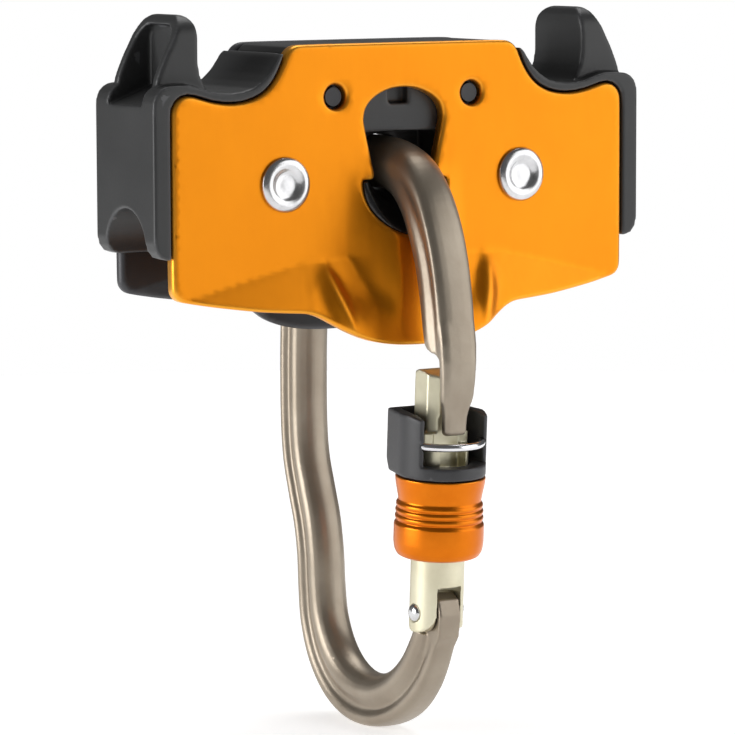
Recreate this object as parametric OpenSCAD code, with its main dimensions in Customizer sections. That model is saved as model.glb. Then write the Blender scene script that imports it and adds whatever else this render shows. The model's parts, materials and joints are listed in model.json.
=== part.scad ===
/* [Side plates] */
// Width of each side plate along the cable
plate_w = 120; // [100:1:150]
// Thickness of each side plate
plate_t = 3; // [2:0.5:5]
// Clear gap between the two side plates
plate_gap = 21; // [18:0.5:26]
// How far the spout around the carabiner bows outward at the bottom
spout_depth = 6.6; // [0:0.2:8]

/* [Sheaves] */
// Distance of each axle from the middle
axle_x = 31.5; // [28:0.5:34]
// Height of the axles above the cable centre
axle_z = 18.5; // [18:0.25:20]
// Axle rivet shank diameter
axle_d = 8; // [6:0.5:9]
// Rivet head diameter
rivet_head_d = 12.4; // [11:0.2:14]
// Sheave flange diameter
flange_d = 33; // [30:0.5:34]
// Sheave width across the flanges
sheave_w = 14; // [12:0.5:16]
// Largest cable diameter, sets the groove
cable_d = 13; // [8:0.5:13]
// Bearing outside diameter
bearing_od = 19; // [17:0.5:20]
// Bearing width
bearing_w = 10; // [8:1:12]

/* [End bumpers] */
// Overall length over both bumpers
overall_w = 129.2; // [124:0.2:136]
// Width of each horn across the cable
horn_w = 20; // [16:0.5:21]
// Wall of the hollow horn
horn_wall = 2.3; // [1.6:0.1:3]
// Radius of the cable arch in the bumper
arch_r = 9; // [7.5:0.25:9.5]

/* [Carabiner] */
// Width of the forged bar across its flat faces
bar_w = 10; // [8:0.5:11]
// Diameter of the round crown that hangs in the saddle
crown_d = 12; // [10:0.5:12]
// Depth of the channel in the flat faces
channel = 1.3; // [0:0.1:2]

/* [Gate and lock] */
// Gate barrel diameter
gate_d = 12.2; // [11:0.1:13]
// Locking sleeve diameter
sleeve_d = 20.4; // [18:0.2:22]
// Lean of the gate toward the nose in degrees
gate_lean = 3.4; // [0:0.2:5]

/* [Hidden] */
half_gap = plate_gap / 2;
outer_y = half_gap + plate_t;
end_x = overall_w / 2;
hinge = [0, -26.3, -78.5];
seat_z = 17.5;
seat_r = 11.2;
pivot_z = 22;
wire_z = 39.05;
wire_r = 9;

// ---------- shared shapes ----------

function mirrored(h) = concat(h, [for (i = [len(h) - 1:-1:0]) if (h[i][0] > 0.001) [-h[i][0], h[i][1]]]);
function lerp(a, b, t) = a + (b - a) * t;
function clamp01(t) = min(1, max(0, t));
function sstep(a, b, v) = let (t = clamp01((v - a) / (b - a))) t * t * (3 - 2 * t);

// Half of the plate outline, from the top middle round to the tongue
outline_half = [[0, 49.4], [27, 49.4], [28.8, 49.1], [30.1, 48.3], [31, 47.1], [31.6, 45.7],
    [32.4, 44], [33.6, 42], [35.1, 40.2], [37, 38.7], [39.3, 37.6], [42, 37], [44.5, 36.8],
    [47, 36.9], [50, 37.4], [52.5, 38.1], [54.4, 38.65], [56, 38.85], [57.6, 38.5],
    [58.9, 37.6], [59.7, 36.3], [60, 34.8], [60, -3.3], [59.7, -4.7], [58.9, -5.8],
    [57.6, -6.5], [51, -7.7], [45, -8.6], [39, -9.4], [33, -9.9], [28.5, -10.2],
    [26.5, -10.6], [24.5, -11.4], [21.8, -13], [19, -14.7], [16.2, -16], [13.2, -17],
    [10, -17.7], [6, -18.2], [0, -18.4]];
keyhole_half = [[0, 39.4], [3, 39.15], [5.5, 38.4], [7.8, 37.2], [9.4, 35.8], [10.3, 34.2],
    [10.6, 32.4], [10.4, 30.8], [8.2, 21.5], [8.1, 19.5], [8.8, 18.6], [8.8, 15], [0, 15]];

// Draws a shape given in X and Z, extruded from y0 to y1
module slab(y0, y1) {
    translate([0, y1, 0]) rotate([90, 0, 0]) linear_extrude(y1 - y0) children();
}

// Outward bow of the side plate at a point of its face
function ridge(z) = let (u = clamp01((z + 8) / 30)) spout_depth * pow(1 - u * u, 1.3);
// Height of the crease above the flared lip of the spout
function lip_top(ax) = ax < 16 ? -4.7 - 0.346 * (16 - ax) : lerp(-4.7, 0.4, sstep(16, 22, ax));
function spout(ax, z) = let (up = ridge(z) * (1 - sstep(4.6, 15.5, ax)), d = lip_top(ax) - z,
    t = clamp01((d + sqrt(d * d + 1.4) - 0.3) / 21), low = spout_depth * (1 - sstep(17.5, 28, ax)))
    up + (low - up) * t * (2 - t);
function crease(ax) = ax < 26 ? lerp(2, 0.9, ax / 26) : lerp(0.9, -6.6, pow((ax - 26) / 32, 1.1));
function wing(ax, z) = 0.38 * max(0, crease(ax) - z) * sstep(60, 52, ax);
function bow(x, z) = let (a = spout(abs(x), z), b = wing(abs(x), z))
    (a + b + sqrt((a - b) * (a - b) + 1.6 * clamp01((a + b) / 3))) / 2;

gx_half = [2.2, 4.4, 6.6, 8.8, 11, 13.2, 15.4, 17.6, 19.6, 21.6, 23.6, 25.6, 27.6, 29.8, 32.5,
    36, 40, 44.5, 49.5, 55, 60.5 + max(0, plate_w / 2 - 60)];
gx = concat([for (i = [len(gx_half) - 1:-1:0]) -gx_half[i]], [0], gx_half);
gz = [-19.5, -16.5, -14, -12, -10.2, -8.6, -7, -5.4, -3.8, -2.2, -0.6, 1.2, 3.2, 5.4, 8, 11, 14, 17,
    19.6, 22.5];

// Closed sheet with the bowed front and back faces
module bowed_sheet() {
    nx = len(gx);
    nz = len(gz);
    n = nx * nz;
    pts = concat(
        [for (j = [0:nz - 1], i = [0:nx - 1]) [gx[i], -outer_y - bow(gx[i], gz[j]), gz[j]]],
        [for (j = [0:nz - 1], i = [0:nx - 1]) [gx[i], -half_gap - bow(gx[i], gz[j]), gz[j]]]);
    faces = concat(
        [for (j = [0:nz - 2], i = [0:nx - 2]) [j * nx + i, (j + 1) * nx + i, (j + 1) * nx + i + 1]],
        [for (j = [0:nz - 2], i = [0:nx - 2]) [j * nx + i, (j + 1) * nx + i + 1, j * nx + i + 1]],
        [for (j = [0:nz - 2], i = [0:nx - 2]) [n + j * nx + i, n + (j + 1) * nx + i + 1, n + (j + 1) * nx + i]],
        [for (j = [0:nz - 2], i = [0:nx - 2]) [n + j * nx + i, n + j * nx + i + 1, n + (j + 1) * nx + i + 1]],
        [for (i = [0:nx - 2]) [i, i + 1, n + i + 1]], [for (i = [0:nx - 2]) [i, n + i + 1, n + i]],
        [for (i = [0:nx - 2], t = (nz - 1) * nx) [t + i, n + t + i + 1, t + i + 1]],
        [for (i = [0:nx - 2], t = (nz - 1) * nx) [t + i, n + t + i, n + t + i + 1]],
        [for (j = [0:nz - 2]) [j * nx, n + j * nx, n + (j + 1) * nx]],
        [for (j = [0:nz - 2]) [j * nx, n + (j + 1) * nx, (j + 1) * nx]],
        [for (j = [0:nz - 2], r = nx - 1) [j * nx + r, n + (j + 1) * nx + r, n + j * nx + r]],
        [for (j = [0:nz - 2], r = nx - 1) [j * nx + r, (j + 1) * nx + r, n + (j + 1) * nx + r]]);
    polyhedron(points = pts, faces = faces, convexity = 6);
}

// Moves the points beyond x = from outward by d
function widened(p, from, d) = [for (q = p) [q[0] > from ? q[0] + d : q[0], q[1]]];

module plate_outline() {
    polygon(mirrored(widened(outline_half, 50, plate_w / 2 - 60)));
}

module side_plate() {
    difference() {
        union() {
            intersection() {
                slab(-outer_y, -half_gap) plate_outline();
                translate([-70, -outer_y - 1, 22.5]) cube([140, 8, 40]);
            }
            intersection() {
                bowed_sheet();
                slab(-outer_y - 12, -half_gap + 1) plate_outline();
            }
        }
        slab(-outer_y - 12, 0) polygon(mirrored(keyhole_half));
        slab(-outer_y - 12, 0) intersection() {
            translate([0, seat_z]) circle(seat_r, $fn = 64);
            translate([-20, -20]) square([40, 38.6]);
        }
        for (s = [-1, 1]) {
            translate([s * axle_x, 0, axle_z]) rotate([90, 0, 0]) cylinder(d = axle_d, h = 40, $fn = 48);
            translate([s * 18.15, 0, 37.6]) rotate([90, 0, 0]) cylinder(d = 5.6, h = 40, $fn = 40);
        }
    }
}

// ---------- plates and moulded parts ----------

module front_side_plate() {
    color([0.95, 0.6, 0.1]) side_plate();
}

module back_side_plate() {
    color([0.1, 0.1, 0.11]) rotate([0, 0, 180]) side_plate();
}

lip_line = [[31.2, 47.9], [32.6, 47], [34, 44.9], [35.4, 43.1], [37.3, 41.4], [39.4, 40.1],
    [42, 39.4], [44.8, 39.1], [47.4, 39.2], [50, 39.6], [52.6, 40.5], [55.4, 41.2],
    [58.5, 41.2], [61.4, 41]];
end_line = [[62.8, 40.3], [63.9, 39.2], [64.5, 37.6], [64.6, 36], [64.6, 7], [64.1, 5],
    [63, 3.6], [61.2, 3]];

// Full side profile of one bumper without its horn
module bumper_profile() {
    polygon(widened(concat(lip_line, end_line, [[49.6, 3], [49.6, 30.6], [47, 33.2], [43, 35.2],
        [38.5, 36.2], [36, 37.4], [34, 39.4], [32.6, 41.6], [31.4, 44], [30.7, 46]]), 56, end_x - 64.6));
}

// Area taken by the side plate plus its fitting gap
module plate_pocket() {
    polygon(widened([[0, 60], [30.9, 60], [30.9, 48.2], [31.5, 47.3], [32.1, 45.9], [32.9, 44.1],
        [34, 42.3], [35.4, 40.6], [37.2, 39.15], [39.5, 38.1], [42, 37.45], [44.5, 37.25],
        [47, 37.35], [50, 37.85], [52.4, 38.55], [54.3, 39.1], [56, 39.3], [57.8, 38.9],
        [59.2, 37.9], [60.1, 36.5], [60.4, 34.8], [60.4, -10], [0, -10]],
        50, plate_w / 2 - 60));
}

horn_profile = [[47.5, 37.5], [49.6, 40.6], [50.8, 43], [51.3, 46], [51.3, 50], [51.2, 53],
    [51.5, 54.8], [52.3, 56], [53.5, 56.5], [54.6, 56.2], [55.5, 55.2], [56.3, 53.4],
    [57.8, 50.6], [59.4, 47.6], [60.7, 44.9], [61.6, 42.6], [62, 40.6], [62, 37.5]];

module end_bumper() {
    difference() {
        union() {
            difference() {
                slab(-outer_y, outer_y) bumper_profile();
                slab(-outer_y - 1, -half_gap + 0.15) plate_pocket();
                slab(half_gap - 0.15, outer_y + 1) plate_pocket();
            }
            intersection() {
                slab(-horn_w / 2, horn_w / 2) polygon(horn_profile);
                translate([45, 0, 0]) rotate([90, 0, 90]) linear_extrude(20) horn_front(horn_w / 2, 56.5, 6);
            }
        }
        intersection() {
            slab(-12, 12) polygon([[53.6, 40.4], [53.6, 52.6], [54.1, 53.9], [55.2, 54.6],
                [57, 54.6], [70, 54.6], [70, 36.6], [64, 36.6], [60, 38]]);
            translate([45, 0, 0]) rotate([90, 0, 90]) linear_extrude(30)
                horn_front(horn_w / 2 - horn_wall, 54.2, 4);
        }
        translate([48, 0, 4.8]) rotate([0, 90, 0]) cylinder(r = arch_r, h = 20, $fn = 64);
        translate([48, -arch_r, -2]) cube([20, arch_r * 2, 6.8]);
    }
}

// Horn seen from the end, with rounded upper corners
module horn_front(w, top, r) {
    hull() {
        translate([-w, 30]) square([w * 2, 6]);
        for (s = [-1, 1]) translate([s * (w - r), top - r]) circle(r, $fn = 32);
    }
}

module right_end_bumper() {
    color([0.2, 0.2, 0.21]) end_bumper();
}

module left_end_bumper() {
    color([0.2, 0.2, 0.21]) rotate([0, 0, 180]) end_bumper();
}

module centre_block() {
    color([0.22, 0.22, 0.23]) slab(-2.5, 2.5) difference() {
        polygon(mirrored([[0, 30], [11.1, 29.8], [11.1, 18.6], [0, 18.6]]));
        translate([0, pivot_z]) circle(6.75, $fn = 48);
    }
    color([0.22, 0.22, 0.23]) difference() {
        slab(-half_gap + 0.1, half_gap - 0.1) polygon(mirrored([[0, 49.3], [26.5, 49.3],
            [28.6, 48.9], [30, 47.4], [30, 46], [30.8, 44.2], [28, 41.5], [23.5, 35.5],
            [20, 33.4], [16, 31.6], [13.4, 29], [12.6, 26], [12.6, 18.5], [10.9, 18.5],
            [10.9, 29.2], [0, 29.4]]));
        for (s = [-1, 1]) {
            translate([s * 18.15, 15, 37.6]) rotate([90, 0, 0]) cylinder(d = 4.2, h = 30, $fn = 32);
            // window and panel edges seen through the keyhole
            mirror([0, s > 0 ? 1 : 0, 0]) {
                translate([-2.2, -12, 35.6]) cube([5.1, 4, 4.6]);
                translate([-5.1, -12, 31]) cube([0.4, 2, 11]);
                translate([-9, -12, 31]) cube([18, 2, 0.4]);
            }
        }
    }
}

module locating_pins() {
    color([0.3, 0.3, 0.31]) for (s = [-1, 1]) translate([s * 18.15, 12.3, 37.6])
        rotate([90, 0, 0]) cylinder(d = 4.2, h = 24.6, $fn = 32);
}

module carabiner_saddle() {
    color([0.12, 0.12, 0.13]) difference() {
        union() {
            intersection() {
                translate([0, 20, seat_z]) rotate([90, 0, 0]) cylinder(r = seat_r - 0.05, h = 40, $fn = 64);
                // flange ends flush with the bowed faces of the plates
                across(40) polygon([[-17.9, 0], [-17.9, 6.2], [-16.9, 9.6], [-15.9, 13], [-14.8, 16],
                    [-14.1, 18.4], [14.1, 18.4], [14.8, 16], [15.9, 13], [16.9, 9.6], [17.9, 6.2], [17.9, 0]]);
                linear_extrude(20) polygon([[-12, -13.9], [-10.4, -14.6], [-8, -16.4], [-5, -18.4], [5, -18.4],
                    [8, -16.4], [10.4, -14.6], [12, -13.9], [12, 13.9], [10.4, 14.6], [8, 16.4], [5, 18.4],
                    [-5, 18.4], [-8, 16.4], [-10.4, 14.6], [-12, 13.9]]);
            }
            translate([-12.4, -half_gap + 0.1, 9]) cube([24.8, plate_gap - 0.2, 9.4]);
        }
        translate([0, 0, pivot_z]) rotate([90, 0, 0]) rotate_extrude($fn = 64)
            polygon([[0, -20], [17.8, -20], [15.2, -17.9], [14, -16.9], [12.5, -15.6], [10.4, -13.6],
                [8.4, -10.5], [7.2, -7], [6.55, -4], [6.4, -2], [6.4, 2], [6.55, 4], [7.2, 7],
                [8.4, 10.5], [10.4, 13.6], [12.5, 15.6], [14, 16.9], [15.2, 17.9], [17.8, 20], [0, 20]]);
        translate([-20, 0, 0]) rotate([0, 90, 0]) cylinder(r = 8.4, h = 40, $fn = 48);
    }
}

// ---------- axles, sheaves and bearings ----------

// Riveted head with a raised ring and a set dimple, base at z = 0
module rivet_head() {
    rotate_extrude($fn = 64) polygon([[0, 0], [rivet_head_d / 2, 0], [rivet_head_d / 2, 0.45],
        [rivet_head_d / 2 - 0.5, 0.95], [rivet_head_d / 2 - 1.4, 1.3], [4, 1.3], [3.4, 1.1],
        [3.1, 0.75], [2.4, 0.6], [0, 0.6]]);
}

module axle_rivets() {
    color([0.8, 0.81, 0.83]) for (s = [-1, 1]) translate([s * axle_x, 0, axle_z]) {
        rotate([90, 0, 0]) cylinder(d = axle_d - 0.04, h = outer_y * 2, center = true, $fn = 48);
        translate([0, -outer_y, 0]) rotate([90, 0, 0]) rivet_head();
        translate([0, outer_y, 0]) rotate([-90, 0, 0]) rivet_head();
    }
}

module axle_spacers() {
    color([0.7, 0.71, 0.73]) for (s = [-1, 1], t = [-1, 1])
        translate([s * axle_x, t * (half_gap + bearing_w / 2) / 2, axle_z]) rotate([90, 0, 0])
            difference() {
                cylinder(d = 11.4, h = half_gap - bearing_w / 2, center = true, $fn = 48);
                cylinder(d = axle_d, h = 20, center = true, $fn = 48);
            }
}

module sheave() {
    root = axle_z - cable_d / 2;
    rf = flange_d / 2;
    w = sheave_w / 2;
    rotate([90, 0, 0]) rotate_extrude($fn = 96) difference() {
        polygon([[bearing_od / 2, -5], [10.6, -5], [11.2, -w + 0.6], [12.5, -w], [rf - 0.6, -w],
            [rf, -w + 0.5], [rf, w - 0.5], [rf - 0.6, w], [12.5, w], [11.2, w - 0.6], [10.6, 5],
            [bearing_od / 2, 5]]);
        translate([axle_z, 0]) circle(cable_d / 2, $fn = 64);
        polygon([[rf + 1, -5.9], [rf - 2.4, -5], [rf - 2.4, 5], [rf + 1, 5.9]]);
    }
}

module left_sheave() {
    color([0.62, 0.63, 0.66]) translate([-axle_x, 0, axle_z]) sheave();
}

module right_sheave() {
    color([0.62, 0.63, 0.66]) translate([axle_x, 0, axle_z]) sheave();
}

ball_pitch_r = 6.75;
ball_d = 3;

module outer_ring() {
    rotate([90, 0, 0]) rotate_extrude($fn = 64) difference() {
        translate([ball_pitch_r + 1.05, -bearing_w / 2]) square([bearing_od / 2 - ball_pitch_r - 1.05, bearing_w]);
        for (s = [-1, 1]) translate([ball_pitch_r, s * 2.3]) circle(ball_d / 2 + 0.07, $fn = 32);
    }
}

module inner_ring() {
    rotate([90, 0, 0]) rotate_extrude($fn = 64) difference() {
        translate([axle_d / 2, -bearing_w / 2]) square([ball_pitch_r - 1.05 - axle_d / 2, bearing_w]);
        for (s = [-1, 1]) translate([ball_pitch_r, s * 2.3]) circle(ball_d / 2 + 0.07, $fn = 32);
    }
}

module ball_rows() {
    for (s = [-1, 1], k = [0:7]) rotate([0, k * 45, 0]) translate([ball_pitch_r, s * 2.3, 0])
        sphere(d = ball_d, $fn = 24);
}

module ball_cage() {
    difference() {
        rotate([90, 0, 0]) rotate_extrude($fn = 64)
            translate([ball_pitch_r - 0.5, -4.4]) square([1, 8.8]);
        for (s = [-1, 1], k = [0:7]) rotate([0, k * 45, 0]) translate([4, s * 2.3, 0])
            rotate([0, 90, 0]) cylinder(d = ball_d + 0.1, h = 6, $fn = 24);
    }
}

module left_bearing_outer_ring() {
    color([0.72, 0.72, 0.74]) translate([-axle_x, 0, axle_z]) outer_ring();
}

module right_bearing_outer_ring() {
    color([0.72, 0.72, 0.74]) translate([axle_x, 0, axle_z]) outer_ring();
}

module left_bearing_inner_ring() {
    color([0.76, 0.76, 0.78]) translate([-axle_x, 0, axle_z]) inner_ring();
}

module right_bearing_inner_ring() {
    color([0.76, 0.76, 0.78]) translate([axle_x, 0, axle_z]) inner_ring();
}

module left_bearing_balls() {
    color([0.86, 0.86, 0.88]) translate([-axle_x, 0, axle_z]) ball_rows();
}

module right_bearing_balls() {
    color([0.86, 0.86, 0.88]) translate([axle_x, 0, axle_z]) ball_rows();
}

module left_ball_cage() {
    color([0.75, 0.6, 0.25]) translate([-axle_x, 0, axle_z]) ball_cage();
}

module right_ball_cage() {
    color([0.75, 0.6, 0.25]) translate([axle_x, 0, axle_z]) ball_cage();
}

// ---------- carabiner ----------

// Bar centreline in Y and Z from above the nose, over the crown, down to the hinge end
path_pts = [[-32.9, -25], [-31.9, -20.5], [-30.9, -15.5], [-29.8, -8.3], [-28, 0], [-25.3, 7.4], [-21.6, 14],
    [-16.6, 19], [-10, 21.5], [-3, 22], [3, 22], [9.4, 21.2], [15.6, 18.4], [20.8, 13.6],
    [24.8, 7], [27.8, -1.5], [29.6, -11], [30.4, -21], [30.6, -32], [30.4, -42], [29.4, -50],
    [27, -57.5], [24.6, -64.5], [23.2, -72], [22.6, -80], [21.4, -87.5], [17.8, -94.8],
    [11.6, -100.4], [3.6, -103.1], [-5, -102.7], [-13.2, -99.4], [-20, -93.7], [-24.4, -87.2],
    [-26, -83.4]];
// Bar width across the flats and depth in the plane of the ring, at each point
path_w = [8.6, 9.2, 9.7, 9.8, 10, 10.4, 11, 11.7, 12, 12, 12, 12, 11.7, 11, 10.4, 10, 10, 10, 10, 10,
    10, 10, 10, 10, 10, 10, 10, 10, 10, 10, 10, 9.8, 9.4, 9.2];
path_d = [7.8, 9.8, 10.8, 11.2, 11.3, 11.5, 11.8, 12, 12, 12, 12, 12, 12, 11.4, 10.6, 9.9, 9.4, 9.2,
    9.2, 9.2, 9.3, 9.6, 9.6, 9.5, 9.7, 10.4, 11.4, 12.2, 12.4, 12.2, 11.8, 11.2, 10.6, 10];
// Share of the channel section, 0 is the round crown and 1 the full section
path_k = [0.6, 0.8, 0.95, 1, 1, 0.9, 0.6, 0.25, 0, 0, 0, 0, 0.2, 0.5, 0.8, 1, 1, 1, 1, 1, 1, 1, 1, 1,
    1, 1, 1, 1, 1, 1, 1, 1, 1, 1];
// Flange width, which narrows to the tenon at the hinge
function flange(i) = lerp(1, 0.62, sstep(27.5, 32.5, i));
ring_n = 20;
// Half of the forged section from the outside of the ring to the inside: flange, channel and round rim
flat_sec = [[0, 1], [0.6, 0.97], [0.92, 0.86], [1, 0.68], [0.96, 0.5], [0, 0.33], [0, 0.12],
    [0.95, -0.14], [0.92, -0.45], [0.66, -0.79], [0, -1]];

// Section point, across is X and deep is in the ring plane
function sec_pt(i, w, d, k, g) = let (j = i <= 10 ? i : 20 - i, a = 90 - 18 * j, f = flat_sec[j],
    floor_x = min(g, 1 - 2 * channel / w),
    fx = j == 5 ? floor_x : j == 6 ? lerp(floor_x, 0.95, 0.45) : j < 5 ? g * f[0] : f[0])
    [(i <= 10 ? -1 : 1) * lerp(cos(a), fx, k) * w / 2, lerp(sin(a), f[1], k) * d / 2];

function tangent(i) = let (n = len(path_pts), a = path_pts[max(0, i - 1)], b = path_pts[min(n - 1, i + 1)],
    v = b - a) v / norm(v);

module carabiner_bar() {
    n = len(path_pts);
    pts = [for (i = [0:n - 1], t = [tangent(i)], j = [0:ring_n - 1])
        let (s = sec_pt(j, path_w[i] * lerp(crown_d / 12, bar_w / 10, path_k[i]),
            path_d[i] * lerp(crown_d / 12, 1, path_k[i]), path_k[i], flange(i)))
        [s[0], path_pts[i][0] - t[1] * s[1], path_pts[i][1] + t[0] * s[1]]];
    polyhedron(points = pts, faces = concat(
        [for (i = [0:n - 2], j = [0:ring_n - 1]) let (k = (j + 1) % ring_n)
            [i * ring_n + j, i * ring_n + k, (i + 1) * ring_n + k]],
        [for (i = [0:n - 2], j = [0:ring_n - 1]) let (k = (j + 1) % ring_n)
            [i * ring_n + j, (i + 1) * ring_n + k, (i + 1) * ring_n + j]],
        [[for (j = [ring_n - 1:-1:0]) j]], [[for (j = [0:ring_n - 1]) (n - 1) * ring_n + j]]),
        convexity = 8);
}

// Draws a shape given in Y and Z, extruded across X with the given full width
module across(w) {
    translate([-w / 2, 0, 0]) rotate([90, 0, 90]) linear_extrude(w) children();
}

module carabiner_body() {
    color([0.66, 0.6, 0.53]) union() {
        difference() {
            carabiner_bar();
            // underside of the leg, cut back to the nose blade
            across(30) polygon([[-20, -15.2], [-26.3, -17.4], [-32.5, -19.9], [-34.1, -21.7],
                [-34.1, -30], [-20, -30]]);
            // round shoulders under the gate fork
            translate([-10, hinge[1], hinge[2]]) rotate([0, 90, 0]) cylinder(r = 6.3, h = 20, $fn = 48);
        }
        // nose blade and its tip
        intersection() {
            across(12) polygon([[-36.5, -14], [-33, -14], [-33.8, -22], [-33.6, -29.5], [-32.6, -32],
                [-32.4, -37.4], [-35, -37.9], [-35.3, -33], [-36.2, -29.5], [-36.7, -25], [-36.8, -20]]);
            slab(-40, -28) polygon([[-4.5, -13], [-4.6, -18], [-4.4, -25], [-4.2, -29.8], [-3.4, -31.6],
                [-3, -33.5], [-2.9, -37], [-2.4, -38], [2.4, -38], [2.9, -37], [3, -33.5],
                [3.4, -31.6], [4.2, -29.8], [4.4, -25], [4.6, -18], [4.5, -13]]);
        }
        // tenon carrying the gate rivet
        difference() {
            across(5.6) polygon([[-29.6, -89], [-21, -90], [-20.7, -83], [-21, -77.4], [-22.6, -74.4],
                [-29, -73.9], [-31.5, -75.4], [-32.4, -79], [-31.6, -84]]);
            translate([-10, hinge[1], hinge[2]]) rotate([0, 90, 0]) cylinder(d = 4.04, h = 20, $fn = 32);
        }
    }
}

// ---------- gate and lock, drawn up the gate axis from the hinge ----------

module on_gate() {
    translate(hinge) rotate([gate_lean, 0, 0]) children();
}

module gate() {
    color([0.78, 0.76, 0.64]) on_gate() difference() {
        union() {
            translate([0, 0, -0.5]) cylinder(d = gate_d, h = 41.8, $fn = 64);
            intersection() {
                translate([0, 0, -4.4]) cylinder(d = gate_d, h = 8, $fn = 64);
                across(20) hull() {
                    translate([-0.6, 0]) circle(4.4, $fn = 48);
                    translate([0.6, 0]) circle(4.4, $fn = 48);
                    translate([-4.9, 3]) square([9.8, 1]);
                }
            }
            // flat bar behind the nose
            intersection() {
                translate([0, 0, 41]) linear_extrude(15) polygon([[-4, 5.6], [-2.6, 6.4], [2.6, 6.4],
                    [4, 5.6], [4, 0.2], [1.8, -1.9], [-1.8, -1.9], [-4, 0.2]]);
                across(20) polygon([[-4, 38], [8, 38], [8, 51.8], [7.3, 53.2],
                    [6, 54.3], [4.4, 55], [2.4, 55], [-4, 53.5]]);
            }
        }
        // fork slot
        across(6.2) polygon([[-12, -8], [12, -8], [12, 4.8], [5, 6.4], [-12, 6.4]]);
        // slot that receives the nose tip
        translate([-3.4, -12, 33]) cube([6.8, 10.4, 12]);
        // outer side opened above the prongs
        translate([-12, -12, 38.6]) cube([24, 10.1, 8]);
        // spring bore
        translate([0, 0.4, -8]) cylinder(d = 5.4, h = 36, $fn = 40);
        translate([-10, 0, 0]) rotate([0, 90, 0]) cylinder(d = 4.1, h = 20, $fn = 32);
    }
}

module gate_rivet() {
    color([0.85, 0.85, 0.87]) translate(hinge) rotate([0, 90, 0]) {
        cylinder(d = 4, h = 12.4, center = true, $fn = 32);
        for (s = [0, 1]) mirror([0, 0, s]) translate([0, 0, 6.12]) rotate_extrude($fn = 32)
            polygon([[0, 0], [1.95, 0], [1.7, 0.35], [1.1, 0.6], [0, 0.7]]);
    }
}

spring_turns = 7;
spring_steps = 84;

module gate_spring() {
    n = spring_steps;
    m = 6;
    pts = [for (i = [0:n], j = [0:m - 1]) let (a = i * 360 * spring_turns / n, z = 13.96 + i * 13.4 / n,
        r = 2.1 + 0.36 * cos(j * 360 / m)) [r * cos(a), 0.4 + r * sin(a), z + 0.36 * sin(j * 360 / m)]];
    color([0.7, 0.7, 0.72]) on_gate() polyhedron(points = pts, faces = concat(
        [for (i = [0:n - 1], j = [0:m - 1]) let (k = (j + 1) % m) [i * m + j, (i + 1) * m + k, i * m + k]],
        [for (i = [0:n - 1], j = [0:m - 1]) let (k = (j + 1) % m) [i * m + j, (i + 1) * m + j, (i + 1) * m + k]],
        [[for (j = [0:m - 1]) j]], [[for (j = [m - 1:-1:0]) n * m + j]]), convexity = 10);
}

module gate_plunger() {
    color([0.6, 0.58, 0.5]) on_gate() translate([0, 0.4, 0]) rotate_extrude($fn = 40)
        polygon([[0, 6.1], [0.9, 6.2], [1.7, 6.8], [2.2, 7.6], [2.5, 8.4], [2.5, 13.6], [0, 13.6]]);
}

module locking_sleeve() {
    r = sleeve_d / 2;
    color([0.95, 0.55, 0.08]) on_gate() rotate_extrude($fn = 96) polygon([[6.4, 13.2], [7.2, 12.7],
        [r - 2, 12.7], [r - 0.9, 13.3], [r - 0.2, 14.8], [r, 16.6], [r, 20.4], [r - 0.25, 20.8],
        [r - 0.5, 21.2], [r - 0.15, 21.7], [r - 0.15, 22.1], [r - 0.5, 22.6], [r - 0.2, 23.1],
        [r - 0.2, 23.5], [r - 0.6, 24], [r - 0.3, 24.5], [r - 0.35, 25], [r - 0.75, 25.5],
        [r - 0.55, 27], [r - 0.15, 29], [r, 30.8], [r, 31.2], [8.9, 31.2], [8.9, 30.5], [9.35, 30.5],
        [9.35, 29.3], [8.9, 29.3], [8.9, 28.6], [6.4, 28.6]]);
}

module sleeve_snap_ring() {
    color([0.75, 0.75, 0.77]) on_gate() translate([0, 0, 29.9]) difference() {
        rotate_extrude($fn = 64) translate([8.75, 0]) circle(0.45, $fn = 24);
        translate([-1, 7, -2]) cube([2, 4, 4]);
    }
}

// Collar section in plan, round at the front and reaching inward behind the gate bar
module collar_plan(r, back, side) {
    hull() {
        circle(r, $fn = 64);
        for (s = [-1, 1]) translate([s * (side - 4.2), back - 4.2]) circle(4.2, $fn = 40);
    }
}

module lock_collar() {
    color([0.16, 0.16, 0.17]) on_gate() difference() {
        union() {
            intersection() {
                translate([0, 0, 31.5]) linear_extrude(14.6) collar_plan(10.2, 12.6, 8.4);
                across(30) polygon([[-12, 31.4], [8.6, 31.4], [10.3, 33.6], [12.4, 36.4], [13, 40],
                    [12.9, 42.4], [12.3, 44.2], [10.9, 45.4], [8.8, 45.8], [-2, 45.8], [-8, 44.4], [-12, 41.5]]);
            }
            translate([0, 0, 28.9]) cylinder(r = 8.6, h = 4, $fn = 64);
        }
        translate([0, 0, 29.9]) rotate_extrude($fn = 64) polygon([[8.3, -0.45], [9.5, -0.45],
            [9.5, 0.45], [8.3, 0.45]]);
        translate([0, 0, 20]) cylinder(r = 6.4, h = 30, $fn = 64);
        translate([0, 0, 34.4]) linear_extrude(20) polygon([[-6.6, -13], [6.6, -13], [7.9, -5], [7.5, 0],
            [6.5, 6], [5.4, 9], [-5.4, 9], [-6.5, 6], [-7.5, 0], [-7.9, -5]]);
        translate([-12, -14, 34.4]) cube([24, 8.8, 20]);
        // seats for the ends of the wire
        wire_arc(0.92, 136);
    }
}

// Round wire bent about the gate axis, open toward the gate bar
module wire_arc(r, sweep) {
    translate([0, 0, wire_z]) rotate([0, 0, -90 - sweep / 2])
        rotate_extrude(angle = sweep, $fn = 96) translate([wire_r, 0]) circle(r, $fn = 24);
}

module nose_keeper_wire() {
    color([0.85, 0.85, 0.87]) on_gate() wire_arc(0.9, 132);
}

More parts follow.
